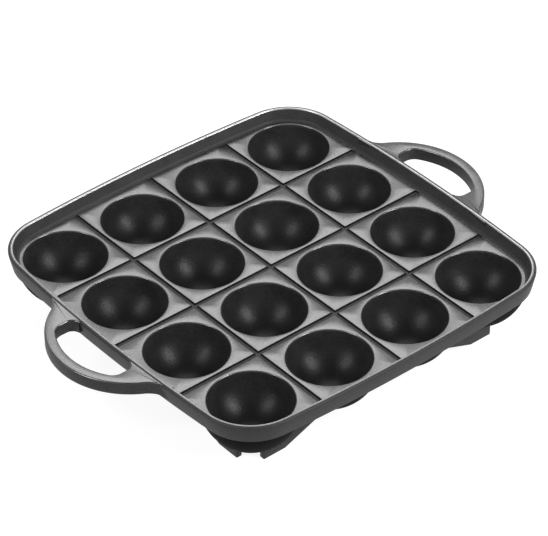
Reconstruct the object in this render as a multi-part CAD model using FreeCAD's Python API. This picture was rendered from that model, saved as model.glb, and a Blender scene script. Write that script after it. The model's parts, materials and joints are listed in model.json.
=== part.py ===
# Takoyaki pan: one iron casting with sixteen half-ball cups, a raised rim, two loop handles and foot webs.
# The casting is written as the regions that a founder would name, which meet face to face.
# Units are millimetres. X runs from handle to handle, Y from front to back, Z up, feet on Z = 0.

import FreeCAD, Part
import math
import os

Vector = FreeCAD.Vector

# Cups and the land between them
CUPS_PER_SIDE = 4
PITCH = 47.0
MOUTH_RADIUS = 20.45
MOUTH_CHAMFER = 0.45
CUP_WALL = 3.8
PLATE_THICKNESS = 3.2

# Dividing grooves with sloping sides, on the lines halfway between the cups
GROOVE_WIDTH = 2.2
GROOVE_FLOOR = 0.8
GROOVE_DEPTH = 1.0

# Rim: its corners are concentric with the corner cups and its sides bulge a little
LAND_MARGIN = 3.0
SIDE_BOW_RADIUS = 996.0
RIM_HEIGHT = 6.6
RIM_TOP_WIDTH = 2.6
RIM_INNER_LEAN = 1.8
RIM_OUTER_DRAFT = 2.0
RIM_EDGE_CHAMFER = 0.5
RIM_FOOT_CHAMFER = 1.1
RIM_LEDGE = 1.6

# Loop handles on the two X sides
HANDLE_REACH = 24.0
HANDLE_THICKNESS = 7.0
HANDLE_STEP = 0.3
HANDLE_BAND = 5.6
HANDLE_OUTER_RADIUS = 41.4
HANDLE_ROOT_RADIUS = 10.5
GRIP_ARC_RADIUS = 37.6
GRIP_HALF_LENGTH = 23.0
GRIP_END_RADIUS = 6.0
GRIP_WALL_RADIUS = 4.0
HANDLE_EDGE_CHAMFER = 0.6

# Foot webs under the corner cups
FOOT_CLEARANCE = 5.55
FOOT_THICKNESS = 3.2
FOOT_OFFSET = 9.4
FOOT_OVERRUN = 0.5
FOOT_PAD_LENGTH = 12.7
FOOT_ROOT = 9.4

# Values that follow from the sizes above
CUP_OUTER_RADIUS = MOUTH_RADIUS + CUP_WALL
LAND_Z = CUP_OUTER_RADIUS + FOOT_CLEARANCE
UNDERSIDE_Z = LAND_Z - PLATE_THICKNESS
RIM_TOP_Z = LAND_Z + RIM_HEIGHT
CORNER_CUP = (CUPS_PER_SIDE - 1) * PITCH / 2
FOOT_LINE_RADIUS = MOUTH_RADIUS + LAND_MARGIN
RIM_OUTER_TOP = RIM_INNER_LEAN + RIM_TOP_WIDTH
RIM_OUTER_BOTTOM = RIM_OUTER_TOP - RIM_OUTER_DRAFT
BOW_GAP = SIDE_BOW_RADIUS - FOOT_LINE_RADIUS
BOW_CENTRE = math.sqrt(BOW_GAP ** 2 - CORNER_CUP ** 2) - CORNER_CUP
BOW_ANGLE = math.degrees(math.atan2(CORNER_CUP, CORNER_CUP + BOW_CENTRE))
OVERCUT = PITCH


def polar(centre, radius, angle, z):
    """Point at an angle in degrees around a vertical axis."""
    turn = math.radians(angle)
    return Vector(centre.x + radius * math.cos(turn), centre.y + radius * math.sin(turn), z)


def rim_arcs():
    """The eight arcs of the rim line: centre, radius of the wall's inner foot, first and last angle."""
    arcs = []
    for quarter in range(4):
        turn = 90 * quarter
        side_centre = polar(Vector(0, 0, 0), BOW_CENTRE, turn + 180, 0)
        corner_centre = polar(Vector(0, 0, 0), CORNER_CUP * math.sqrt(2), turn + 45, 0)
        arcs.append((side_centre, SIDE_BOW_RADIUS, turn - BOW_ANGLE, turn + BOW_ANGLE))
        arcs.append((corner_centre, FOOT_LINE_RADIUS, turn + BOW_ANGLE, turn + 90 - BOW_ANGLE))
    return arcs


def outline_face(offset, z):
    """Flat face inside the rim line moved out by an offset."""
    edges = []
    for centre, radius, first, last in rim_arcs():
        ends = [polar(centre, radius + offset, angle, z) for angle in (first, (first + last) / 2, last)]
        edges.append(Part.Arc(*ends).toShape())
    return Part.Face(Part.Wire(edges))


def bevelled_wire(corners):
    """Closed wire through (point, cut) corners, with a straight cut of that length across each cut one."""
    points = []
    for index, (point, cut) in enumerate(corners):
        if cut == 0:
            points.append(point)
            continue
        before = (corners[index - 1][0] - point).normalize()
        after = (corners[(index + 1) % len(corners)][0] - point).normalize()
        points.append(point + before * cut)
        points.append(point + after * cut)
    return Part.makePolygon(points + points[:1])


def rim_section(centre, radius, angle):
    """Upright section of the rim: a ledge level with the land, a leaning wall and a narrow flat top."""
    corners = [
        (-RIM_LEDGE, UNDERSIDE_Z, 0),
        (RIM_OUTER_BOTTOM, UNDERSIDE_Z, RIM_EDGE_CHAMFER),
        (RIM_OUTER_TOP, RIM_TOP_Z, RIM_EDGE_CHAMFER),
        (RIM_INNER_LEAN, RIM_TOP_Z, RIM_EDGE_CHAMFER),
        (0, LAND_Z, RIM_FOOT_CHAMFER),
        (-RIM_LEDGE, LAND_Z, 0),
    ]
    placed = [(polar(centre, radius + offset, angle, z), cut) for offset, z, cut in corners]
    return Part.Face(bevelled_wire(placed))


def rim_wall():
    """The rim, turned piece by piece about the centres of its arcs."""
    pieces = []
    for centre, radius, first, last in rim_arcs():
        section = rim_section(centre, radius, first)
        pieces.append(section.revolve(centre, Vector(0, 0, 1), last - first))
    return pieces[0].multiFuse(pieces[1:]).Solids[0]


def cup_cutter(centre):
    """Body of the hollow of one cup: a half ball whose mouth edge is bevelled into the land."""
    edge = Vector(math.sqrt(MOUTH_RADIUS ** 2 - MOUTH_CHAMFER ** 2), 0, -MOUTH_CHAMFER)
    bowl_angle = -(math.pi / 2 + math.asin(MOUTH_CHAMFER / MOUTH_RADIUS)) / 2
    bowl_middle = Vector(MOUTH_RADIUS * math.cos(bowl_angle), 0, MOUTH_RADIUS * math.sin(bowl_angle))
    bottom = Vector(0, 0, -MOUTH_RADIUS)
    lip = Vector(MOUTH_RADIUS + MOUTH_CHAMFER, 0, 0)
    lip_top = Vector(lip.x, 0, CUP_WALL)
    top = Vector(0, 0, CUP_WALL)
    bowl = Part.Arc(bottom, bowl_middle, edge).toShape()
    sides = Part.makePolygon([edge, lip, lip_top, top, bottom])
    hollow = Part.Face(Part.Wire([bowl] + sides.Edges)).revolve(Vector(0, 0, 0), Vector(0, 0, 1), 360)
    hollow.translate(centre)
    return hollow


def cell_span(index):
    """Low and high bound of a cell along one side; an outer cell runs on past the rim."""
    low = (index - CUPS_PER_SIDE / 2) * PITCH
    high = low + PITCH
    if index == 0:
        low -= OVERCUT
    if index == CUPS_PER_SIDE - 1:
        high += OVERCUT
    return low, high


def groove_cutters():
    """Bars with sloping sides that cut the dividing grooves across the whole land."""
    length = CUPS_PER_SIDE * PITCH + 2 * OVERCUT
    corners = [
        (-GROOVE_FLOOR / 2, -GROOVE_DEPTH),
        (GROOVE_FLOOR / 2, -GROOVE_DEPTH),
        (GROOVE_WIDTH / 2, 0),
        (GROOVE_WIDTH / 2, GROOVE_DEPTH),
        (-GROOVE_WIDTH / 2, GROOVE_DEPTH),
        (-GROOVE_WIDTH / 2, 0),
    ]
    points = [Vector(x, -length / 2, LAND_Z + z) for x, z in corners]
    bar = Part.Face(Part.makePolygon(points + points[:1])).extrude(Vector(0, length, 0))
    bars = []
    for line in range(1, CUPS_PER_SIDE):
        place = (line - CUPS_PER_SIDE / 2) * PITCH
        along_y = bar.copy()
        along_y.translate(Vector(place, 0, 0))
        along_x = bar.copy()
        along_x.rotate(Vector(0, 0, 0), Vector(0, 0, 1), 90)
        along_x.translate(Vector(0, place, 0))
        bars += [along_y, along_x]
    return bars


def cup_cell(row, column, plate, grooves):
    """One cup with its square of land, parted from its neighbours at the groove lines."""
    x_low, x_high = cell_span(column)
    y_low, y_high = cell_span(row)
    bounds = Part.makeBox(x_high - x_low, y_high - y_low, LAND_Z, Vector(x_low, y_low, 0))
    centre = cup_centre(row, column)
    ball = Part.makeSphere(CUP_OUTER_RADIUS, centre, Vector(0, 0, 1), -90, 0, 360)
    below = Part.makeBox(x_high - x_low, y_high - y_low, UNDERSIDE_Z, Vector(x_low, y_low, 0))
    bowl = ball.common(below)
    block = plate.common(bounds)
    cell = block.fuse(bowl).cut([cup_cutter(centre)] + grooves)
    return cell.removeSplitter().Solids[0]


def cup_centre(row, column):
    """Middle of a cup's mouth, on the land."""
    return Vector((column + 0.5 - CUPS_PER_SIDE / 2) * PITCH, (row + 0.5 - CUPS_PER_SIDE / 2) * PITCH, LAND_Z)


def mirrored_point(point):
    """The same point on the other side of the X axis."""
    return Vector(point.x, -point.y, point.z)


def handle_outline(z, wall_x):
    """Outer outline of the handle with its hollow roots running out onto the wall, open to the wall's inside."""
    tip_x = wall_x + HANDLE_REACH
    arc_centre = Vector(tip_x - HANDLE_OUTER_RADIUS, 0, z)
    bow_radius = SIDE_BOW_RADIUS + RIM_OUTER_TOP
    bow_centre = Vector(-BOW_CENTRE, 0, z)
    from_arc = HANDLE_OUTER_RADIUS + HANDLE_ROOT_RADIUS
    from_bow = bow_radius + HANDLE_ROOT_RADIUS
    spread = arc_centre.x - bow_centre.x
    along = (from_bow ** 2 - from_arc ** 2 + spread ** 2) / (2 * spread)
    root_centre = Vector(bow_centre.x + along, math.sqrt(from_bow ** 2 - along ** 2), z)
    on_wall = bow_centre + (root_centre - bow_centre) * (bow_radius / from_bow)
    on_arc = arc_centre + (root_centre - arc_centre) * (HANDLE_OUTER_RADIUS / from_arc)
    toward = ((on_wall + on_arc) * 0.5 - root_centre).normalize()
    root_middle = root_centre + toward * HANDLE_ROOT_RADIUS
    inside = Vector(wall_x - RIM_TOP_WIDTH, on_wall.y, z)
    edges = [
        Part.LineSegment(inside, on_wall).toShape(),
        Part.Arc(on_wall, root_middle, on_arc).toShape(),
        Part.Arc(on_arc, Vector(tip_x, 0, z), mirrored_point(on_arc)).toShape(),
        Part.Arc(mirrored_point(on_arc), mirrored_point(root_middle), mirrored_point(on_wall)).toShape(),
        Part.LineSegment(mirrored_point(on_wall), mirrored_point(inside)).toShape(),
        Part.LineSegment(mirrored_point(inside), inside).toShape(),
    ]
    return Part.Face(Part.Wire(edges))


def grip_outline(z, wall_x):
    """Outline of the finger opening between the handle and the wall."""
    far_x = wall_x + HANDLE_REACH - HANDLE_BAND
    arc_centre = Vector(far_x - GRIP_ARC_RADIUS, 0, z)
    reach = GRIP_ARC_RADIUS - GRIP_END_RADIUS
    end_y = GRIP_HALF_LENGTH - GRIP_END_RADIUS
    end_centre = Vector(arc_centre.x + math.sqrt(reach ** 2 - end_y ** 2), end_y, z)
    touch = arc_centre + (end_centre - arc_centre) * (GRIP_ARC_RADIUS / reach)
    end_side = end_centre + Vector(0, GRIP_END_RADIUS, 0)
    end_middle = end_centre + ((touch + end_side) * 0.5 - end_centre).normalize() * GRIP_END_RADIUS
    corner_centre = Vector(wall_x + GRIP_WALL_RADIUS, GRIP_HALF_LENGTH - GRIP_WALL_RADIUS, z)
    corner_side = corner_centre + Vector(0, GRIP_WALL_RADIUS, 0)
    corner_wall = corner_centre - Vector(GRIP_WALL_RADIUS, 0, 0)
    corner_middle = polar(corner_centre, GRIP_WALL_RADIUS, 135, z)
    inside = corner_wall - Vector(OVERCUT, 0, 0)
    half = [
        (inside, None, corner_wall),
        (corner_wall, corner_middle, corner_side),
        (corner_side, None, end_side),
        (end_side, end_middle, touch),
    ]
    edges = []
    for start, middle, end in half:
        for place in (Vector, mirrored_point):
            if middle is None:
                edges.append(Part.LineSegment(place(start), place(end)).toShape())
            else:
                edges.append(Part.Arc(place(start), place(middle), place(end)).toShape())
    edges.append(Part.Arc(touch, Vector(far_x, 0, z), mirrored_point(touch)).toShape())
    edges.append(Part.LineSegment(inside, mirrored_point(inside)).toShape())
    return Part.Face(Part.Wire(Part.__sortEdges__(edges)))


def handle(wall):
    """The loop on the +X side: a flat band with bevelled edges, butted on the wall's outer face."""
    wall_x = SIDE_BOW_RADIUS - BOW_CENTRE + RIM_OUTER_TOP
    top_z = RIM_TOP_Z - HANDLE_STEP
    bottom_z = top_z - HANDLE_THICKNESS
    drop = Vector(0, 0, -HANDLE_THICKNESS)
    loop = handle_outline(top_z, wall_x).extrude(drop)
    loop = loop.cut(grip_outline(top_z, wall_x).extrude(drop))
    edges = []
    for edge in loop.Edges:
        box = edge.BoundBox
        level = box.ZLength < 0.001 and (abs(box.ZMin - top_z) < 0.001 or abs(box.ZMin - bottom_z) < 0.001)
        if level and box.XMax > wall_x:
            edges.append(edge)
    loop = loop.makeChamfer(HANDLE_EDGE_CHAMFER, edges)
    return loop.cut(wall).Solids[0]


def foot_web():
    """The web along X under the corner cup at +X, -Y: pad below the cup, then a slope up to the next cup."""
    face_y = -CORNER_CUP - FOOT_OFFSET
    end_x = CORNER_CUP + FOOT_OVERRUN
    pad_x = end_x - FOOT_PAD_LENGTH
    next_cup = CORNER_CUP - PITCH
    root_x = next_cup + FOOT_ROOT
    root_z = LAND_Z - math.sqrt(CUP_OUTER_RADIUS ** 2 - FOOT_OFFSET ** 2 - FOOT_ROOT ** 2)
    slope = root_z / (pad_x - root_x)
    inner_x = root_x - CUP_WALL
    corners = [
        (end_x, UNDERSIDE_Z),
        (end_x, 0),
        (pad_x, 0),
        (inner_x, slope * (pad_x - inner_x)),
        (inner_x, UNDERSIDE_Z),
    ]
    points = [Vector(x, face_y, z) for x, z in corners]
    blank = Part.Face(Part.makePolygon(points + points[:1])).extrude(Vector(0, FOOT_THICKNESS, 0))
    cups = []
    for x in (CORNER_CUP, next_cup):
        cups.append(Part.makeSphere(CUP_OUTER_RADIUS, Vector(x, -CORNER_CUP, LAND_Z)))
    return blank.cut(cups).Solids[0]


def mirrored(shape, across_x, across_y):
    """Copy of a shape mirrored to another corner of the pan."""
    if across_x:
        shape = shape.mirror(Vector(0, 0, 0), Vector(1, 0, 0))
    if across_y:
        shape = shape.mirror(Vector(0, 0, 0), Vector(0, 1, 0))
    return shape


def swapped(shape):
    """Copy of a shape mirrored in the upright plane X = -Y, which turns an X web into a Y web."""
    return shape.mirror(Vector(0, 0, 0), Vector(1, 1, 0))


def save(name, shape):
    """Write one node and print its size."""
    shape.exportStep("parts/" + name + ".step")
    box = shape.BoundBox
    print(name, "solids", len(shape.Solids), "volume", round(shape.Volume), "valid", shape.isValid(),
          "box", [round(v, 2) for v in (box.XMin, box.YMin, box.ZMin, box.XMax, box.YMax, box.ZMax)])


def main():
    os.makedirs("parts", exist_ok=True)
    wall = rim_wall()
    save("rim_wall", wall)

    plate = outline_face(-RIM_LEDGE, UNDERSIDE_Z).extrude(Vector(0, 0, PLATE_THICKNESS))
    grooves = groove_cutters()
    for row in range(CUPS_PER_SIDE):
        for column in range(CUPS_PER_SIDE):
            save("cup_row" + str(row + 1) + "_col" + str(column + 1), cup_cell(row, column, plate, grooves))

    right = handle(wall)
    save("handle_right", right)
    save("handle_left", mirrored(right, True, False))

    web_x = foot_web()
    web_y = swapped(web_x)
    for side_x, across_x in (("right", False), ("left", True)):
        for side_y, across_y in (("front", False), ("back", True)):
            corner = side_y + "_" + side_x
            save("foot_" + corner + "_x", mirrored(web_x, across_x, across_y))
            save("foot_" + corner + "_y", mirrored(web_y, across_x, across_y))


main()
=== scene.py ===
# %% [markdown]
# A takoyaki pan of cast iron: a grooved plate of half-ball cups, a rim, two loop handles and foot webs.
# The frame holds the true sizes. Each lesson below makes one region of the casting with smooth round
# surfaces, sets it exactly on its place in the frame, and says why it is made that way.

# %% Load the frame
import json
import math
import bmesh
import bpy
from mathutils import Matrix, Quaternion, Vector

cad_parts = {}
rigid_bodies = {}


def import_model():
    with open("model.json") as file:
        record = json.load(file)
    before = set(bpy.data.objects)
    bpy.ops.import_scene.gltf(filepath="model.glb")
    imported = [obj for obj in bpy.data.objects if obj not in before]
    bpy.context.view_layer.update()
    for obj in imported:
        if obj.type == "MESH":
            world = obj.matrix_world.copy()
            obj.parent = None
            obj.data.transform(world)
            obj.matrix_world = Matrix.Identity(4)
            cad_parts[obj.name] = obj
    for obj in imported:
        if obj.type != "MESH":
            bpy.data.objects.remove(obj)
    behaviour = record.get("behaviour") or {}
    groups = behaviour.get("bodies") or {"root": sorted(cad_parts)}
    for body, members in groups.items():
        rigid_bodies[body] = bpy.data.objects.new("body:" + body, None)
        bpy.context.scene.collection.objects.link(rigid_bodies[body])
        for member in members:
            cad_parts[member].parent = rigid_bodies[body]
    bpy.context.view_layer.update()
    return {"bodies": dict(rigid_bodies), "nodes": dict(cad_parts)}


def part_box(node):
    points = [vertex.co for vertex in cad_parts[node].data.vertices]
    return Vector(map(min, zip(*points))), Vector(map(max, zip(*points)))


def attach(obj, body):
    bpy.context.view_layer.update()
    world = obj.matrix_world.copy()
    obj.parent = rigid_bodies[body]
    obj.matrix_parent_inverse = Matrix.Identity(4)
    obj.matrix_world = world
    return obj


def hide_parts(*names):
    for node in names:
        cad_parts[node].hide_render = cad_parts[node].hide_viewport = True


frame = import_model()
body = list(frame["bodies"])[0]
print("body", body, "nodes", len(frame["nodes"]))

# %% [markdown]
# The plan sizes come from the frame's boxes, so a cup can't drift from its node. What a box can't say,
# such as the radius of a mouth, is a named size in millimetres, turned to metres once.

# %% Sizes
MM = 0.001
CUPS = 4
inner_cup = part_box("cup_row2_col2")
PITCH = inner_cup[1][0] - inner_cup[0][0]
LAND = inner_cup[1][2]
RIM_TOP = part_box("rim_wall")[1][2]
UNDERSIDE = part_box("rim_wall")[0][2]
CUP_OUTER = LAND - inner_cup[0][2]
MOUTH = 20.45 * MM
MOUTH_ROUND = 0.6 * MM
GROOVE_WIDTH = 2.2 * MM
GROOVE_DEPTH = 1.0 * MM
GROOVE_LIP = 0.3 * MM
LAND_MARGIN = 3.0 * MM
SIDE_BOW = 996.0 * MM
RIM_LEAN = 1.8 * MM
RIM_TOP_WIDTH = 2.6 * MM
RIM_DRAFT = 2.0 * MM
RIM_EDGE = 0.5 * MM
RIM_ROLL = 1.5 * MM
RIM_FOOT = 1.6 * MM
RIM_FOOT_ROUND = 0.76 * RIM_FOOT

MIDDLE_CELL = (CUPS - 1) / 2
HALF = PITCH / 2
CORNER = (CUPS - 1) * HALF
FOOT_LINE = MOUTH + LAND_MARGIN
BOW_CENTRE = math.sqrt((SIDE_BOW - FOOT_LINE) ** 2 - CORNER ** 2) - CORNER
BOW_ANGLE = math.atan2(CORNER, CORNER + BOW_CENTRE)
PLATE = LAND - UNDERSIDE
print("pitch mm", round(PITCH / MM, 3), "land mm", round(LAND / MM, 3), "plate mm", round(PLATE / MM, 3))

# %% [markdown]
# Five materials cover this casting. The faces that were ground flat are smoother and catch the light, and
# their lighter grey is partly that finish and partly painted light on faces that point up. Their bright edges
# carry a painted highlight. The walls are left as the sand mould gave them, the hollows are dark with baked
# oil and painted shade, and the balls underneath are painted black as shade. Each is built by one small
# function that adds a node, sets it and links it.

# %% Material helpers
FACE, WALL, HOLLOW, EDGE, UNDER = 0, 1, 2, 3, 4
MOTTLE_SIZE = 9 * MM
GRAIN_SHARE = 0.6
DARK_STOP = 0.36
PALE_STOP = 0.64
GLOSS_BELOW = 0.05
GLOSS_ABOVE = 0.07
# Painted shade and light in the hollows: how deep it reaches, and the colour scale at the bottom and at the
# land.
HOLLOW_SHADE_DEPTH = 0.9 * MOUTH
HOLLOW_SHADE_DARKEST = 0.35
HOLLOW_SHADE_PALEST = 2.6


def linear(code):
    """Scene colour from an sRGB hex code."""
    parts = [int(code[i:i + 2], 16) / 255 for i in (1, 3, 5)]
    straight = [c / 12.92 if c <= 0.04045 else ((c + 0.055) / 1.055) ** 2.4 for c in parts]
    return (*straight, 1.0)


def add(tree, kind, settings=None, links=None):
    """Add a node, set its values and link its inputs from other nodes' outputs."""
    made = tree.nodes.new(kind)
    for key, value in (settings or {}).items():
        if hasattr(made, key):
            setattr(made, key, value)
        else:
            made.inputs[key].default_value = value
    for key, socket in (links or {}).items():
        tree.links.new(socket, made.inputs[key])
    return made


def ramp(tree, fac, stops):
    """Colour ramp through (position, hex colour) stops."""
    made = add(tree, "ShaderNodeValToRGB", links={"Fac": fac})
    bar = made.color_ramp.elements
    while len(bar) < len(stops):
        bar.new(1.0)
    for element, (place, code) in zip(bar, stops):
        element.position = place
        element.color = linear(code)
    return made.outputs["Color"]


def new_material(name):
    """Empty material with a Principled shader wired to its output."""
    material = bpy.data.materials.new(name)
    material.use_nodes = True
    tree = material.node_tree
    tree.nodes.clear()
    shader = add(tree, "ShaderNodeBsdfPrincipled")
    add(tree, "ShaderNodeOutputMaterial", links={"Surface": shader.outputs["BSDF"]})
    return material, tree, shader


def iron(name, dark, pale, metallic, rough, grain_mm, grain_depth_mm, level):
    """Seasoned iron: a mottled colour, uneven gloss and a sand-cast grain of a real size."""
    material, tree, shader = new_material(name)
    place = add(tree, "ShaderNodeTexCoord").outputs["Object"]
    mottle = add(tree, "ShaderNodeTexNoise", {"Scale": 1 / MOTTLE_SIZE, "Detail": 4.0}, {"Vector": place})
    grain = add(tree, "ShaderNodeTexNoise", {"Scale": 1 / (grain_mm * MM), "Detail": 3.0}, {"Vector": place})
    both = add(tree, "ShaderNodeMix", {"data_type": "FLOAT", "Factor": GRAIN_SHARE},
               {"A": mottle.outputs["Fac"], "B": grain.outputs["Fac"]})
    colour = ramp(tree, both.outputs["Result"], [(DARK_STOP, dark), (PALE_STOP, pale)])
    tree.links.new(colour, shader.inputs["Base Color"])
    spread = {"To Min": rough - GLOSS_BELOW, "To Max": rough + GLOSS_ABOVE}
    gloss = add(tree, "ShaderNodeMapRange", spread, {"Value": mottle.outputs["Fac"]})
    tree.links.new(gloss.outputs["Result"], shader.inputs["Roughness"])
    bump = add(tree, "ShaderNodeBump", {"Strength": 1.0, "Distance": grain_depth_mm * MM},
               {"Height": grain.outputs["Fac"]})
    tree.links.new(bump.outputs["Normal"], shader.inputs["Normal"])
    shader.inputs["Metallic"].default_value = metallic
    shader.inputs["Specular IOR Level"].default_value = level
    return material


def paint_hollow_shade(material):
    """Painted shade: the hollows' colour scaled darker towards the bottom and paler near the mouth."""
    tree = material.node_tree
    shader = [n for n in tree.nodes if n.type == "BSDF_PRINCIPLED"][0]
    colour = shader.inputs["Base Color"].links[0].from_socket
    place = add(tree, "ShaderNodeTexCoord").outputs["Object"]
    height = add(tree, "ShaderNodeSeparateXYZ", links={"Vector": place})
    span = {"From Min": LAND - HOLLOW_SHADE_DEPTH, "From Max": LAND, "To Min": HOLLOW_SHADE_DARKEST, "To Max": HOLLOW_SHADE_PALEST}
    fade = add(tree, "ShaderNodeMapRange", span, {"Value": height.outputs["Z"]})
    shade = add(tree, "ShaderNodeVectorMath", {"operation": "SCALE"}, {"Vector": colour})
    tree.links.new(fade.outputs["Result"], shade.inputs["Scale"])
    tree.links.new(shade.outputs["Vector"], shader.inputs["Base Color"])


# %% [markdown]
# Ground and seasoned iron is grey and satin, because the flats were skimmed before the oil was baked on, and
# its grey is partly painted light on faces that point up. As-cast iron is darker and rougher. The hollows are
# nearly black with a soft gloss, partly from baked oil and partly painted shade, and a painted shade makes
# them darkest at the bottom and paler near the mouth. Grain of 0.3 mm is too fine for the picture, so it is
# drawn about three times as coarse.

# %% Materials
# The up-facing flats are painted lighter than the walls: partly a ground finish, partly painted light.
ground_and_painted_light_iron = iron("ground_seasoned_painted_light_iron", "#5B5B5B", "#6A6A6A", 1.0, 0.28, 0.9, 0.03, 0.5)
cast_iron = iron("as_cast_seasoned_iron", "#2A2A2A", "#383838", 0.0, 0.5, 1.1, 0.07, 0.25)
# The hollows' near-black colour is partly baked oil and partly painted shade.
oiled_and_shaded_iron = iron("oil_baked_painted_shade_hollow_iron", "#141414", "#202020", 0.0, 0.36, 0.9, 0.09, 0.2)
# Painted highlight for the bright edges and the thin line below each mouth.
painted_highlight_iron = iron("painted_highlight_edge_iron", "#A4A4A4", "#BABABA", 1.0, 0.3, 0.9, 0.02, 0.5)
# Painted shade, near black, for the balls underneath and the groove lips.
painted_shade_iron = iron("painted_shade_black_iron", "#0C0C0C", "#161616", 0.0, 0.85, 1.1, 0.08, 0.1)
# Painted shade: darker towards the bottom of the hollows, paler near the mouth.
paint_hollow_shade(oiled_and_shaded_iron)
finishes = [ground_and_painted_light_iron, cast_iron, oiled_and_shaded_iron, painted_highlight_iron, painted_shade_iron]
print("materials", [m.name for m in finishes])

# %% [markdown]
# Every piece ends the same way: normals turned outwards, faces smooth with the true edges kept sharp, then a
# ride on the casting's body, and the node that it stands for is hidden.

# %% Finishing a piece
SHARP_ANGLE = math.radians(38)


def finish_piece(name, bm, node):
    """Turn a bmesh into a piece that stands for a node."""
    bmesh.ops.recalc_face_normals(bm, faces=bm.faces)
    mesh = bpy.data.meshes.new(name)
    bm.to_mesh(mesh)
    bm.free()
    for polygon in mesh.polygons:
        polygon.use_smooth = True
    mesh.set_sharp_from_angle(angle=SHARP_ANGLE)
    for material in finishes:
        mesh.materials.append(material)
    piece = bpy.data.objects.new(name, mesh)
    bpy.context.scene.collection.objects.link(piece)
    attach(piece, body)
    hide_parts(node)
    return piece


def spin(bm, geom, centre, axis, angle, steps):
    """Spin geometry round an axis and return what lies at the end."""
    turned = bmesh.ops.spin(bm, geom=geom, cent=centre, axis=axis, angle=angle, steps=steps,
                            use_merge=False, use_duplicate=False)
    return turned["geom_last"]


# %% [markdown]
# A cup with its square of land is one skin. It starts as a tiny ring at the bottom of the hollow. The ring is
# extruded again and again: up the half ball, past a narrow painted highlight line just below the mouth, over
# the rolled lip, out across the land to a square, down the round side of the grooves, back under the plate
# and down the outer ball. One ring with the same number of points all the way gives clean quads where round
# turns into square, which a cut-out hole wouldn't.

# %% Stations of the round parts
AROUND = 96
BOWL_STEPS = 24
LIP_STEPS = 4
UP = Vector((0, 0, 1))
SIDEWAYS = Vector((0, 1, 0))
LIP_CENTRE = math.sqrt((MOUTH + MOUTH_ROUND) ** 2 - MOUTH_ROUND ** 2)
LIP_TILT = math.asin(MOUTH_ROUND / (MOUTH + MOUTH_ROUND))
LINE_DEPTH = 1.0 * MM
LINE_WIDTH = 0.32 * MM


def ball_stations(radius, angles):
    """(radius, height) rings on a ball, by the angle up from its lowest point."""
    return [(radius * math.sin(a), -radius * math.cos(a)) for a in angles]


def mouth_angles():
    """Angles of the bowl's rings, with a narrow line a little below the mouth."""
    mouth = math.pi / 2 - LIP_TILT
    line = mouth - LINE_DEPTH / MOUTH
    return [line * step / BOWL_STEPS for step in range(BOWL_STEPS + 1)], line + LINE_WIDTH / MOUTH, mouth


def lip_stations():
    """Rings over the rolled edge of the mouth, from the hollow to the land."""
    rings = []
    for step in range(1, LIP_STEPS + 1):
        angle = math.pi - LIP_TILT - (math.pi / 2 - LIP_TILT) * step / LIP_STEPS
        rings.append((LIP_CENTRE + MOUTH_ROUND * math.cos(angle), MOUTH_ROUND * (math.sin(angle) - 1)))
    return rings


# %% [markdown]
# The groove is a round-bottomed channel with a softened lip. Each cell holds half of it. Its lip and upper
# side are painted black as shade, which draws it as a dark line, and its floor is plain. The skin runs a
# little past the groove's middle, so that a flat cut there can part the cell cleanly from its neighbour.

# %% Stations of the groove
GROOVE_RADIUS = (GROOVE_WIDTH ** 2 / 4 + GROOVE_DEPTH ** 2) / (2 * GROOVE_DEPTH)
GROOVE_STEPS = 5
DARK_STEPS = 4
LIP_SHARE = 0.3
OVERCUT = 1.5 * MM
LIP_ANGLE = math.asin((GROOVE_RADIUS - GROOVE_DEPTH + GROOVE_LIP) / GROOVE_RADIUS)
LIP_FOOT = HALF - GROOVE_RADIUS * math.cos(LIP_ANGLE)
LAND_HALF = LIP_FOOT - GROOVE_LIP


def groove_stations():
    """(half width of the cell, height) from the groove's lip down to the plate's underside."""
    rings = [(LIP_FOOT - GROOVE_LIP * LIP_SHARE, -GROOVE_LIP * LIP_SHARE)]
    for step in range(GROOVE_STEPS + 1):
        angle = LIP_ANGLE + (math.pi / 2 - LIP_ANGLE) * step / GROOVE_STEPS
        across = HALF - GROOVE_RADIUS * math.cos(angle)
        rings.append((across, GROOVE_RADIUS - GROOVE_DEPTH - GROOVE_RADIUS * math.sin(angle)))
    rings.append((HALF + OVERCUT, -GROOVE_DEPTH))
    rings.append((HALF + OVERCUT, -PLATE))
    return rings


# %% [markdown]
# Where a cell meets the rim, its edge follows the bowed side of the pan, or the round corner whose centre is
# the corner cup's own. So an outer point is moved straight out to the bow, or along its own bearing to the
# corner's arc.

# %% Edge of the plate
def bow_reach(along, offset):
    """How far out a bowed side lies at a distance along it."""
    return math.sqrt((SIDE_BOW + offset) ** 2 - along ** 2) - BOW_CENTRE


def outer_point(x, y, centre, out_x, out_y, on_x):
    """Where a point of the square goes on the edge of the plate, in the cell's own frame."""
    edge = FOOT_LINE - RIM_FOOT
    in_corner = x * out_x > 0 and y * out_y > 0
    bearing = math.atan2(abs(y), abs(x))
    if in_corner and BOW_ANGLE <= bearing <= math.pi / 2 - BOW_ANGLE:
        return math.copysign(edge * math.cos(bearing), x), math.copysign(edge * math.sin(bearing), y)
    if on_x:
        along = edge * math.sin(math.atan2(y, abs(x))) if in_corner else y
        return out_x * (bow_reach(centre.y + along, -RIM_FOOT) - abs(centre.x)), along
    along = edge * math.sin(math.atan2(x, abs(y))) if in_corner else x
    return along, out_y * (bow_reach(centre.x + along, -RIM_FOOT) - abs(centre.y))


# %% [markdown]
# Each ring knows the bearing of its points and which sides of the square they belong to. These are kept in
# layers of the mesh, because an extrusion copies them to the new points by itself.

# %% Growing the skin
SAME_PLACE = 1e-7
SAME_LENGTH = 1e-5


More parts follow.
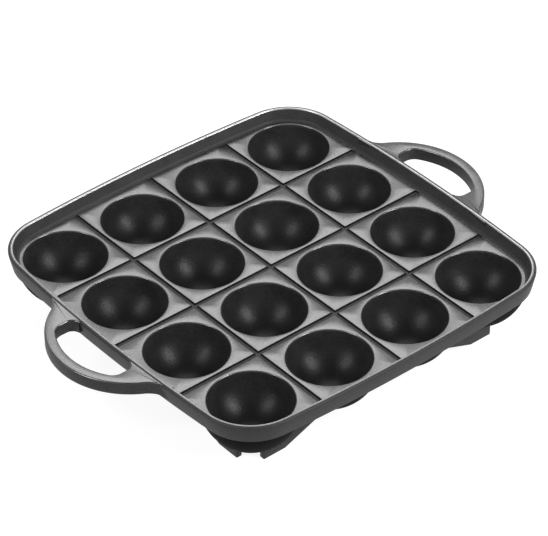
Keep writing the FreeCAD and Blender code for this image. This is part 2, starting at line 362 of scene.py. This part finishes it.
def grow(bm, ring, slot):
    """Extrude a ring in place; returns its new points and edges."""
    made = bmesh.ops.extrude_edge_only(bm, edges=ring)["geom"]
    verts = [g for g in made if isinstance(g, bmesh.types.BMVert)]
    edges = [g for g in made if isinstance(g, bmesh.types.BMEdge)]
    for edge in edges:
        for face in edge.link_faces:
            face.material_index = slot
    return verts, edges


def grow_round(bm, ring, turn, stations, slot):
    """Extrude a ring through round stations."""
    for radius, height in stations:
        verts, ring = grow(bm, ring, slot)
        for vert in verts:
            vert.co = (radius * math.cos(vert[turn]), radius * math.sin(vert[turn]), height)
    return ring


def part_from_neighbours(bm, out_x, out_y):
    """Cut the cell flat at each groove line and close the cut."""
    for axis, outer in ((0, out_x), (1, out_y)):
        for sign in {1, -1} - {outer}:
            normal = Vector((0, 0, 0))
            normal[axis] = sign
            cut = bmesh.ops.bisect_plane(bm, geom=bm.verts[:] + bm.edges[:] + bm.faces[:], dist=SAME_PLACE,
                                         plane_co=normal * HALF, plane_no=normal, clear_outer=True)
            edges = [g for g in cut["geom_cut"] if isinstance(g, bmesh.types.BMEdge) and g.is_boundary]
            for face in bmesh.ops.edgeloop_fill(bm, edges=edges)["faces"]:
                face.material_index = WALL


def cup_piece(row, column):
    """One cup with its square of land."""
    centre = Vector(((column - MIDDLE_CELL) * PITCH, (row - MIDDLE_CELL) * PITCH, LAND))
    out_x = {0: -1, CUPS - 1: 1}.get(column, 0)
    out_y = {0: -1, CUPS - 1: 1}.get(row, 0)
    bm = bmesh.new()
    turn = bm.verts.layers.float.new("bearing")
    side_x = bm.verts.layers.int.new("side_x")
    side_y = bm.verts.layers.int.new("side_y")
    bowl, line, mouth = mouth_angles()
    hollow = ball_stations(MOUTH, bowl)
    bmesh.ops.create_circle(bm, cap_ends=True, cap_tris=True, radius=hollow[1][0], segments=AROUND)
    for vert in bm.verts:
        pole = not vert.is_boundary
        vert.co.z = hollow[0][1] if pole else hollow[1][1]
        vert[turn] = math.atan2(vert.co.y, vert.co.x)
    for face in bm.faces:
        face.material_index = HOLLOW
    ring = grow_round(bm, [e for e in bm.edges if e.is_boundary], turn, hollow[2:], HOLLOW)
    # Painted highlight: a narrow bright ring just below the mouth.
    ring = grow_round(bm, ring, turn, ball_stations(MOUTH, [line]), EDGE)
    ring = grow_round(bm, ring, turn, ball_stations(MOUTH, [mouth]), WALL)
    ring = grow_round(bm, ring, turn, lip_stations(), FACE)

    verts, ring = grow(bm, ring, FACE)
    for vert in verts:
        x, y = math.cos(vert[turn]), math.sin(vert[turn])
        widest = max(abs(x), abs(y))
        vert[side_x] = round(math.copysign(1, x)) if abs(x) > widest - SAME_LENGTH else 0
        vert[side_y] = round(math.copysign(1, y)) if abs(y) > widest - SAME_LENGTH else 0
        x, y = LAND_HALF * x / widest, LAND_HALF * y / widest
        on_x = vert[side_x] != 0 and vert[side_x] == out_x
        on_y = vert[side_y] != 0 and vert[side_y] == out_y
        if on_x or on_y:
            x, y = outer_point(x, y, centre, out_x, out_y, on_x)
        vert.co = (x, y, 0)

    before = LAND_HALF
    for step, (across, height) in enumerate(groove_stations()):
        # The groove's lip and upper side get the painted shade.
        verts, ring = grow(bm, ring, UNDER if step < DARK_STEPS else WALL)
        for vert in verts:
            if vert[side_x] != out_x:
                vert.co.x += vert[side_x] * (across - before)
            if vert[side_y] != out_y:
                vert.co.y += vert[side_y] * (across - before)
            vert.co.z = height
        before = across
    under = math.acos(PLATE / CUP_OUTER)
    ball = ball_stations(CUP_OUTER, [under * (1 - step / BOWL_STEPS) for step in range(BOWL_STEPS)])
    ring = grow_round(bm, ring, turn, ball[:1], WALL)
    # The outer ball under the plate gets the painted shade.
    ring = grow_round(bm, ring, turn, ball[1:], UNDER)
    verts, ring = grow(bm, ring, UNDER)
    bmesh.ops.pointmerge(bm, verts=verts, merge_co=(0, 0, -CUP_OUTER))

    part_from_neighbours(bm, out_x, out_y)
    bmesh.ops.translate(bm, verts=bm.verts, vec=centre)
    node = "cup_row" + str(row + 1) + "_col" + str(column + 1)
    return finish_piece(node + "_cast", bm, node)


cups = [cup_piece(row, column) for row in range(CUPS) for column in range(CUPS)]
print("cups", len(cups), "faces each", len(cups[0].data.polygons))

# %% [markdown]
# The rim is one section carried round the pan: a ledge level with the land, a leaning inner wall, a narrow
# flat top with a broad outer roll and an outer wall with draft. The sides bow outwards and the corners are
# round about the corner cups, so a chain of spins, each about its own centre, carries the section all the way
# round. Only the roll at the top's inner edge gets a painted highlight.

# %% Rim
SIDE_STEPS = 24
CORNER_STEPS = 24
ROLL_SEGMENTS = 4
CLOSING = 0.02 * MM
FLAT_UP = 0.99
EDGE_UP = 0.3


def rim_corners():
    """Corners of the section: distance out from the wall's inner foot, height and rounding."""
    top_out = RIM_LEAN + RIM_TOP_WIDTH
    return [
        (-RIM_FOOT, UNDERSIDE, 0),
        (top_out - RIM_DRAFT, UNDERSIDE, RIM_EDGE),
        (top_out, RIM_TOP, RIM_ROLL),
        (RIM_LEAN, RIM_TOP, RIM_EDGE),
        (0, LAND, RIM_FOOT_ROUND),
        (-RIM_FOOT, LAND, 0),
    ]


def rim_piece():
    """The whole rim as one closed ring."""
    bm = bmesh.new()
    foot = bow_reach(0, 0)
    verts = [bm.verts.new((foot + out, 0, height)) for out, height, rounding in rim_corners()]
    bm.faces.new(verts)
    for vert, (out, height, rounding) in zip(verts, rim_corners()):
        if rounding:
            bmesh.ops.bevel(bm, geom=[vert], offset=rounding, segments=ROLL_SEGMENTS, profile=0.5,
                            affect="VERTICES", material=-1)
    bmesh.ops.delete(bm, geom=bm.faces[:], context="FACES_ONLY")
    section = bm.verts[:] + bm.edges[:]
    for quarter in range(4):
        turn = Matrix.Rotation(quarter * math.pi / 2, 3, "Z")
        side = turn @ Vector((-BOW_CENTRE, 0, 0))
        corner = turn @ Vector((CORNER, CORNER, 0))
        following = turn @ Vector((0, -BOW_CENTRE, 0))
        section = spin(bm, section, side, UP, BOW_ANGLE, SIDE_STEPS // 2)
        section = spin(bm, section, corner, UP, math.pi / 2 - 2 * BOW_ANGLE, CORNER_STEPS)
        section = spin(bm, section, following, UP, BOW_ANGLE, SIDE_STEPS // 2)
    bmesh.ops.remove_doubles(bm, verts=bm.verts, dist=CLOSING)
    bmesh.ops.recalc_face_normals(bm, faces=bm.faces)
    for face in bm.faces:
        middle = face.calc_center_median()
        inward = face.normal.x * middle.x + face.normal.y * middle.y < 0
        # Faces that point up take the lighter ground colour, partly painted light.
        if abs(middle.z - LAND) < SAME_LENGTH or face.normal.z > FLAT_UP:
            face.material_index = FACE
        # Painted highlight on the inner roll at the top.
        elif inward and face.normal.z > EDGE_UP and middle.z > RIM_TOP - RIM_EDGE:
            face.material_index = EDGE
        else:
            face.material_index = WALL
    return finish_piece("rim_wall_cast", bm, "rim_wall")


rim = rim_piece()
print("rim faces", len(rim.data.polygons))

# %% [markdown]
# A loop handle is a flat band. Half of its outer edge and half of its finger opening are chains of arcs,
# spun from single vertices and bridged into a band. The band is thickened, mirrored across the X axis, and
# its long edges are rounded. Each root's arc touches the bow a little inside the wall, so the handle flows
# out of the drafted wall without a notch.

# %% Handles
HANDLE_REACH = 24.0 * MM
HANDLE_THICK = 7.0 * MM
HANDLE_STEP = 0.3 * MM
HANDLE_BAND = 5.6 * MM
HANDLE_ARC = 41.4 * MM
HANDLE_ROOT = 14.0 * MM
ROOT_INSET = 1.5 * MM
GRIP_ARC = 37.6 * MM
GRIP_HALF = 23.0 * MM
GRIP_END = 6.0 * MM
GRIP_WALL = 4.0 * MM
HANDLE_EDGE = 0.8 * MM
ROOT_DEPTH = 2.0 * MM
OUTER_ARC_STEPS = 26
ROOT_STEPS = 16
GRIP_ARC_STEPS = 22
GRIP_END_STEPS = 10
GRIP_WALL_STEPS = 9
EDGE_SEGMENTS = 3
EDGE_FOLD = 1.0
TOP_UP = 0.35
MERGE = 1e-6


def turn_between(centre, start, end):
    """Signed angle from one point to another about a centre, seen from above."""
    a = start - centre
    b = end - centre
    return math.atan2(a.x * b.y - a.y * b.x, a.x * b.x + a.y * b.y)


def arc_chain(bm, start, arcs, last_points):
    """Edge chain from a point through (centre, end, steps) arcs and then straight to further points."""
    vert = bm.verts.new(start)
    chain = {vert}
    for centre, end, steps in arcs:
        if centre is None:
            nxt = bm.verts.new(end)
            bm.edges.new((vert, nxt))
        else:
            before = set(bm.verts)
            last = spin(bm, [vert], centre, UP, turn_between(centre, vert.co, end), steps)
            nxt = [g for g in last if isinstance(g, bmesh.types.BMVert)][0]
            chain |= set(bm.verts) - before
        chain.add(nxt)
        vert = nxt
    for point in last_points:
        nxt = bm.verts.new(point)
        bm.edges.new((vert, nxt))
        chain.add(nxt)
        vert = nxt
    return [e for e in bm.edges if e.verts[0] in chain and e.verts[1] in chain]


def outer_chain(bm, wall):
    """Outer edge of the handle from its tip to where the root runs into the wall."""
    tip = Vector((wall + HANDLE_REACH, 0, 0))
    arc_centre = tip - Vector((HANDLE_ARC, 0, 0))
    bow = SIDE_BOW + RIM_LEAN + RIM_TOP_WIDTH - ROOT_INSET
    from_arc = HANDLE_ARC + HANDLE_ROOT
    from_bow = bow + HANDLE_ROOT
    spread = arc_centre.x + BOW_CENTRE
    along = (from_bow ** 2 - from_arc ** 2 + spread ** 2) / (2 * spread)
    root_centre = Vector((along - BOW_CENTRE, math.sqrt(from_bow ** 2 - along ** 2), 0))
    bow_middle = Vector((-BOW_CENTRE, 0, 0))
    on_wall = bow_middle + (root_centre - bow_middle) * (bow / from_bow)
    on_arc = arc_centre + (root_centre - arc_centre) * (HANDLE_ARC / from_arc)
    arcs = [(arc_centre, on_arc, OUTER_ARC_STEPS), (root_centre, on_wall, ROOT_STEPS)]
    return arc_chain(bm, tip, arcs, [on_wall - Vector((ROOT_DEPTH, 0, 0))])


def grip_chain(bm, wall):
    """Edge of the finger opening from its far middle to the wall."""
    far = Vector((wall + HANDLE_REACH - HANDLE_BAND, 0, 0))
    arc_centre = far - Vector((GRIP_ARC, 0, 0))
    reach = GRIP_ARC - GRIP_END
    end_y = GRIP_HALF - GRIP_END
    end_centre = Vector((arc_centre.x + math.sqrt(reach ** 2 - end_y ** 2), end_y, 0))
    touch = arc_centre + (end_centre - arc_centre) * (GRIP_ARC / reach)
    end_side = end_centre + Vector((0, GRIP_END, 0))
    wall_centre = Vector((wall + GRIP_WALL, GRIP_HALF - GRIP_WALL, 0))
    wall_side = wall_centre + Vector((0, GRIP_WALL, 0))
    on_wall = wall_centre - Vector((GRIP_WALL, 0, 0))
    arcs = [
        (arc_centre, touch, GRIP_ARC_STEPS),
        (end_centre, end_side, GRIP_END_STEPS),
        (None, wall_side, 1),
        (wall_centre, on_wall, GRIP_WALL_STEPS),
    ]
    return arc_chain(bm, far, arcs, [on_wall - Vector((ROOT_DEPTH, 0, 0))])


def handle_piece(name, node, sign):
    """One loop handle; sign +1 is the right one and -1 the left."""
    bm = bmesh.new()
    wall = bow_reach(0, RIM_LEAN + RIM_TOP_WIDTH)
    outer = outer_chain(bm, wall)
    inner = grip_chain(bm, wall)
    bmesh.ops.bridge_loops(bm, edges=outer + inner)
    thick = bmesh.ops.extrude_face_region(bm, geom=bm.faces[:])
    moved = [g for g in thick["geom"] if isinstance(g, bmesh.types.BMVert)]
    bmesh.ops.translate(bm, verts=moved, vec=(0, 0, -HANDLE_THICK))
    middle = [f for f in bm.faces if all(abs(v.co.y) < SAME_PLACE for v in f.verts)]
    bmesh.ops.delete(bm, geom=middle, context="FACES_ONLY")
    bmesh.ops.mirror(bm, geom=bm.verts[:] + bm.edges[:] + bm.faces[:], axis="Y", merge_dist=MERGE)
    bmesh.ops.remove_doubles(bm, verts=bm.verts, dist=MERGE)
    bmesh.ops.recalc_face_normals(bm, faces=bm.faces)
    root = wall - ROOT_DEPTH / 2
    long_edges = [e for e in bm.edges if len(e.link_faces) == 2 and e.calc_face_angle() > EDGE_FOLD
                  and abs(e.verts[0].co.z - e.verts[1].co.z) < SAME_PLACE
                  and max(v.co.x for v in e.verts) > root]
    bmesh.ops.bevel(bm, geom=long_edges, offset=HANDLE_EDGE, segments=EDGE_SEGMENTS, profile=0.5,
                    affect="EDGES", material=-1)
    bmesh.ops.translate(bm, verts=bm.verts, vec=(0, 0, RIM_TOP - HANDLE_STEP))
    if sign < 0:
        bmesh.ops.scale(bm, verts=bm.verts, vec=(-1, 1, 1))
    bmesh.ops.recalc_face_normals(bm, faces=bm.faces)
    for face in bm.faces:
        # Faces that point up take the lighter ground colour, partly painted light; the sides take the darker
        # wall colour.
        face.material_index = FACE if face.normal.z > TOP_UP else WALL
    return finish_piece(name, bm, node)


handles = [
    handle_piece("handle_right_cast", "handle_right", 1),
    handle_piece("handle_left_cast", "handle_left", -1),
]
print("handle faces", len(handles[0].data.polygons))

# %% [markdown]
# Each corner stands on two webs, thin plates that hang from a corner cup and run up to its neighbour. The
# outline of a web is straight below and follows the balls above, a little inside their skin, so the web and
# the cups read as one casting. It is thickened, its free edges are rounded, and copies are turned into place.

# %% Foot webs
FOOT_THICK = 3.2 * MM
FOOT_OFFSET = 9.4 * MM
FOOT_OVERRUN = 0.5 * MM
FOOT_PAD = 12.7 * MM
FOOT_ROOT = 9.4 * MM
ROOT_SINK = 1.0 * MM
FOOT_EDGE = 0.5 * MM
SKIN = 21.6 * MM
VALLEY = 1.0 * MM
FREE_DEPTH = 0.7 * SKIN
FREE_FOLD = 0.6
BALL_STEPS = 16
NEIGHBOUR_STEPS = 12


def web_outline(bm):
    """Face of the web under the +X, -Y corner cup."""
    y = -CORNER - FOOT_OFFSET
    end_x = CORNER + FOOT_OVERRUN
    next_cup = CORNER - PITCH
    valley_z = -PLATE + VALLEY
    valley_x = math.sqrt(SKIN ** 2 - valley_z ** 2)
    root_run = FOOT_ROOT - ROOT_SINK
    ball = Vector((CORNER, y, LAND))
    neighbour = Vector((next_cup, y, LAND))
    start = Vector((end_x, y, LAND - math.sqrt(SKIN ** 2 - FOOT_OVERRUN ** 2)))
    high = Vector((CORNER - valley_x, y, LAND + valley_z))
    other = Vector((next_cup + valley_x, y, LAND + valley_z))
    low = Vector((next_cup + root_run, y, LAND - math.sqrt(SKIN ** 2 - root_run ** 2)))
    first = bm.verts.new(start)
    sweep = math.acos((start - ball).dot(high - ball) / SKIN ** 2)
    last = spin(bm, [first], ball, SIDEWAYS, sweep, BALL_STEPS)
    top = [g for g in last if isinstance(g, bmesh.types.BMVert)][0]
    across = bm.verts.new(other)
    bm.edges.new((top, across))
    sweep = math.acos((other - neighbour).dot(low - neighbour) / SKIN ** 2)
    last = spin(bm, [across], neighbour, SIDEWAYS, sweep, NEIGHBOUR_STEPS)
    foot_root = [g for g in last if isinstance(g, bmesh.types.BMVert)][0]
    pad_in = bm.verts.new((end_x - FOOT_PAD, y, 0))
    pad_out = bm.verts.new((end_x, y, 0))
    bm.edges.new((foot_root, pad_in))
    bm.edges.new((pad_in, pad_out))
    bm.edges.new((pad_out, first))
    return bmesh.ops.contextual_create(bm, geom=bm.edges[:])["faces"]


def web_piece(name, node, along_y, sign_x, sign_y):
    """One web, turned and mirrored to its corner."""
    bm = bmesh.new()
    faces = web_outline(bm)
    made = bmesh.ops.extrude_face_region(bm, geom=faces)
    moved = [g for g in made["geom"] if isinstance(g, bmesh.types.BMVert)]
    bmesh.ops.translate(bm, verts=moved, vec=(0, FOOT_THICK, 0))
    free = [e for e in bm.edges if max(v.co.z for v in e.verts) < LAND - FREE_DEPTH
            and len(e.link_faces) == 2 and e.calc_face_angle() > FREE_FOLD]
    bmesh.ops.bevel(bm, geom=free, offset=FOOT_EDGE, segments=EDGE_SEGMENTS, profile=0.5, affect="EDGES",
                    material=-1)
    if along_y:
        swap = Matrix(((0, -1, 0), (-1, 0, 0), (0, 0, 1)))
        bmesh.ops.transform(bm, matrix=swap.to_4x4(), verts=bm.verts)
    bmesh.ops.scale(bm, verts=bm.verts, vec=(sign_x, -sign_y, 1))
    for face in bm.faces:
        face.material_index = WALL
    return finish_piece(name, bm, node)


webs = []
for side_x, sign_x in (("right", 1), ("left", -1)):
    for side_y, sign_y in (("front", -1), ("back", 1)):
        for axis in ("x", "y"):
            node = "foot_" + side_y + "_" + side_x + "_" + axis
            webs.append(web_piece(node + "_cast", node, axis == "y", sign_x, sign_y))
print("webs", len(webs))

# %% [markdown]
# The camera repeats the one that the photograph was taken with. It was worked out from the crossings of the
# grooves: a long lens, about 38 degrees up, looking at a corner of the pan.

# %% Camera
PICTURE_WIDTH = 548
FOCAL_PIXELS = 2957.5
SENSOR = 36.0
AIM = Vector((0.35, -1.90, 29.8)) * MM
VIEW_AZIMUTH = math.radians(-39.561)
VIEW_ELEVATION = math.radians(37.561)
VIEW_ROLL = math.radians(-0.506)
VIEW_DISTANCE = 30.2504 * PITCH

camera_data = bpy.data.cameras.new("photo_camera")
camera_data.sensor_fit = "HORIZONTAL"
camera_data.sensor_width = SENSOR
camera_data.lens = FOCAL_PIXELS / PICTURE_WIDTH * SENSOR
camera = bpy.data.objects.new("photo_camera", camera_data)
outward = Vector((
    math.sin(VIEW_AZIMUTH) * math.cos(VIEW_ELEVATION),
    -math.cos(VIEW_AZIMUTH) * math.cos(VIEW_ELEVATION),
    math.sin(VIEW_ELEVATION),
))
camera.location = AIM + outward * VIEW_DISTANCE
camera.rotation_mode = "QUATERNION"
camera.rotation_quaternion = (-outward).to_track_quat("-Z", "Y") @ Quaternion((0, 0, 1), VIEW_ROLL)
bpy.context.scene.collection.objects.link(camera)
bpy.context.scene.camera = camera
print("lens mm", round(camera_data.lens, 2))

# %% [markdown]
# The studio is a pale floor, a bright world that greys overhead, and three soft boxes. The floor shows white
# to the camera and in reflections, and still takes a faint shadow, because part of its light comes from its
# own pale paint. It lies a hair below the pads, so that the two don't flicker through each other.

# %% Studio
FLOOR_SIZE = 6.0
FLOOR_GLOW = 0.88
FLOOR_GAP = 0.05 * MM
WORLD_LAMP = 0.35
WORLD_FADE = {"From Min": 0.2, "From Max": 0.8, "To Min": 1.0, "To Max": 0.3}


def light_path_mix(tree):
    """1 for camera, glossy and transmission rays, else 0."""
    path = add(tree, "ShaderNodeLightPath")
    first = add(tree, "ShaderNodeMath", {"operation": "MAXIMUM"},
                {0: path.outputs["Is Camera Ray"], 1: path.outputs["Is Glossy Ray"]})
    second = add(tree, "ShaderNodeMath", {"operation": "MAXIMUM"},
                 {0: first.outputs[0], 1: path.outputs["Is Transmission Ray"]})
    return second.outputs[0]


def make_floor():
    """A big pale plane on which the pan stands."""
    bm = bmesh.new()
    bmesh.ops.create_grid(bm, x_segments=1, y_segments=1, size=FLOOR_SIZE / 2)
    mesh = bpy.data.meshes.new("floor")
    bm.to_mesh(mesh)
    bm.free()
    floor = bpy.data.objects.new("floor", mesh)
    floor.location = (0, 0, -FLOOR_GAP)
    bpy.context.scene.collection.objects.link(floor)
    material = bpy.data.materials.new("pale_floor_paint")
    material.use_nodes = True
    tree = material.node_tree
    tree.nodes.clear()
    paint = add(tree, "ShaderNodeBsdfDiffuse", {"Color": linear("#8C8C8C")})
    strength = add(tree, "ShaderNodeMath", {"operation": "MULTIPLY"}, {0: light_path_mix(tree)})
    strength.inputs[1].default_value = FLOOR_GLOW
    glow = add(tree, "ShaderNodeEmission", {"Color": linear("#FFFFFF")}, {"Strength": strength.outputs[0]})
    both = add(tree, "ShaderNodeAddShader", links={0: paint.outputs[0], 1: glow.outputs[0]})
    add(tree, "ShaderNodeOutputMaterial", links={"Surface": both.outputs[0]})
    mesh.materials.append(material)


def make_world():
    """White to the camera, white near the horizon in reflections and greyer overhead, dimmer as a lamp."""
    world = bpy.data.worlds.new("studio")
    bpy.context.scene.world = world
    world.use_nodes = True
    tree = world.node_tree
    tree.nodes.clear()
    path = add(tree, "ShaderNodeLightPath")
    towards = add(tree, "ShaderNodeTexCoord")
    height = add(tree, "ShaderNodeSeparateXYZ", links={"Vector": towards.outputs["Generated"]})
    fade = add(tree, "ShaderNodeMapRange", WORLD_FADE, {"Value": height.outputs["Z"]})
    mirrored = add(tree, "ShaderNodeMath", {"operation": "MAXIMUM"},
                   {0: path.outputs["Is Glossy Ray"], 1: path.outputs["Is Transmission Ray"]})
    lit = add(tree, "ShaderNodeMix", {"data_type": "FLOAT", "A": WORLD_LAMP},
              {"Factor": mirrored.outputs[0], "B": fade.outputs["Result"]})
    strength = add(tree, "ShaderNodeMix", {"data_type": "FLOAT", "B": 1.0},
                   {"Factor": path.outputs["Is Camera Ray"], "A": lit.outputs["Result"]})
    sky = add(tree, "ShaderNodeBackground", {"Color": linear("#FFFFFF")}, {"Strength": strength.outputs[0]})
    add(tree, "ShaderNodeOutputWorld", links={"Surface": sky.outputs[0]})


def soft_lamp(name, azimuth, elevation, distance, width, height, watts):
    """Soft box aimed at the pan from a bearing on the camera's scale."""
    lamp = bpy.data.lights.new(name, "AREA")
    lamp.shape = "RECTANGLE"
    lamp.size = width
    lamp.size_y = height
    lamp.energy = watts
    holder = bpy.data.objects.new(name, lamp)
    az = math.radians(azimuth)
    el = math.radians(elevation)
    toward = Vector((math.sin(az) * math.cos(el), -math.cos(az) * math.cos(el), math.sin(el)))
    holder.location = toward * distance
    holder.rotation_mode = "QUATERNION"
    holder.rotation_quaternion = (-toward).to_track_quat("-Z", "Y")
    bpy.context.scene.collection.objects.link(holder)


make_floor()
make_world()
soft_lamp("key_lamp", 140, 55, 1.6, 1.0, 1.0, 12)
soft_lamp("left_lamp", -97, 36, 1.5, 0.35, 0.8, 9)
soft_lamp("right_lamp", 23, 35, 1.5, 0.35, 0.8, 16)
bpy.context.scene.view_settings.view_transform = "Standard"
